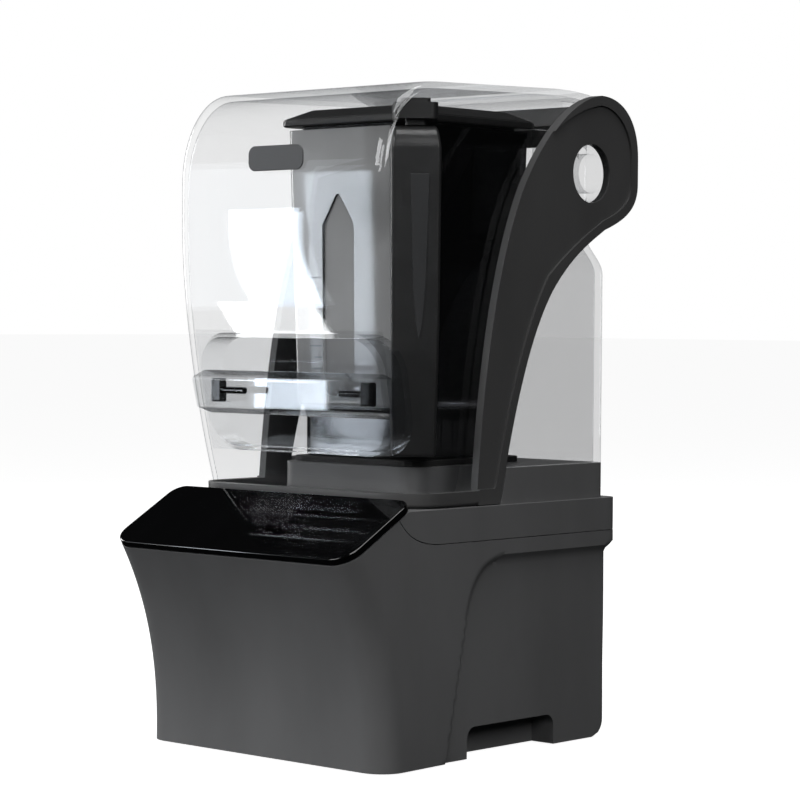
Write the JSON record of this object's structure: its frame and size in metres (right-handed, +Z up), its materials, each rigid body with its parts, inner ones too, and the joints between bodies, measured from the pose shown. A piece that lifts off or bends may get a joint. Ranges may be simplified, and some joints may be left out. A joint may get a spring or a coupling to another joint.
{
  "type": "quiet commercial blender",
  "caption": "Countertop blender with a sloped touch panel on a motor base, a square lidded jug, a clear rear shell and a clear sound hood that swings up on two side arms.",
  "frame": {"origin": "centre of the whole object's box in plan, at the underside of the feet", "axes": "+X to the object's right, -Y towards its front and control panel, +Z up"},
  "size_m": [0.2272, 0.3096, 0.4586],
  "materials": {
    "casing": "satin textured dark grey moulding",
    "frame": "satin black moulding",
    "panel_gloss": "mirror gloss black touch surface",
    "switch_gloss": "gloss black",
    "clear": "clear polycarbonate",
    "smoked": "slightly grey clear copolyester",
    "lid_black": "satin black",
    "handle_black": "semi-gloss black",
    "rubber": "matte black",
    "badge": "satin dark grey, blank",
    "steel": "brushed",
    "lamination": "varnished laminations",
    "copper": "enamelled copper wire",
    "bracket_metal": "die cast",
    "board": "green circuit board",
    "component": "black sleeve",
    "carbon": "dull carbon",
    "nylon": "glass filled nylon"
  },
  "bodies": {
    "base": {"lower_housing": "casing", "upper_housing": "casing", "bottom_cover": "casing", "foot_front_left": "rubber", "foot_front_right": "rubber", "foot_rear_left": "rubber", "foot_rear_right": "rubber", "cover_screw_front_left": "steel", "cover_screw_front_right": "steel", "cover_screw_rear_left": "steel", "cover_screw_rear_right": "steel", "control_panel": "panel_gloss", "touch_board": "board", "inlet_socket": "switch_gloss", "switch_frame": "switch_gloss", "motor_stator": "lamination", "field_coil_lower": "copper", "field_coil_upper": "copper", "motor_bracket_lower": "bracket_metal", "motor_bracket_upper": "bracket_metal", "motor_bearing_lower": "steel", "motor_bearing_upper": "steel", "carbon_brush_left": "carbon", "carbon_brush_right": "carbon", "motor_mount_front_left": "rubber", "motor_mount_front_right": "rubber", "motor_mount_rear_left": "rubber", "motor_mount_rear_right": "rubber", "power_board": "board", "board_capacitor": "component", "jug_mat": "rubber", "rear_shell": "clear"},
    "switch": {"power_rocker": "switch_gloss"},
    "rotor": {"motor_rotor": "steel", "cooling_fan": "nylon", "drive_socket": "steel"},
    "jug": {"jug_body": "smoked", "jug_collar": "lid_black", "jug_handle": "handle_black", "handle_grip": "rubber", "blade_bearing_housing": "steel", "blade_bearing_lower": "steel", "blade_bearing_upper": "steel"},
    "blade_unit": {"blade_shaft": "steel", "blade": "steel", "blade_nut": "steel"},
    "lid": {"jug_lid": "lid_black", "lid_seal": "rubber"},
    "hood": {"hood_shell": "clear", "hood_frame": "frame", "grip_bar": "clear", "grip_bracket_left": "switch_gloss", "grip_bracket_right": "switch_gloss", "hood_badge": "badge"}
  },
  "joints": [
    {"name": "hood_hinge", "type": "hinge", "parent": "base", "child": "hood", "pos_m": [0, 0.1036, 0.4008], "axis": [-1, 0, 0], "range_deg": [0, 95]},
    {"name": "rotor_spin", "type": "hinge", "parent": "base", "child": "rotor", "pos_m": [0, 0.0265, 0.1], "axis": [0, 0, 1], "continuous": true},
    {"name": "jug_lift", "type": "slide", "parent": "base", "child": "jug", "axis": [0, 0, 1], "range_m": [0, 0.0015]},
    {"name": "blade_spin", "type": "hinge", "parent": "jug", "child": "blade_unit", "pos_m": [0, 0.0265, 0.25], "axis": [0, 0, 1], "continuous": true},
    {"name": "lid_lift", "type": "slide", "parent": "jug", "child": "lid", "axis": [0, 0, 1], "range_m": [0, 0.0015]},
    {"name": "power_switch", "type": "hinge", "parent": "base", "child": "switch", "pos_m": [0.062, 0.1193, 0.092], "axis": [1, 0, 0], "range_deg": [-6, 6]}
  ],
  "couplings": [
    {"joint": "blade_spin", "follows": "rotor_spin", "ratio": 1}
  ]
}
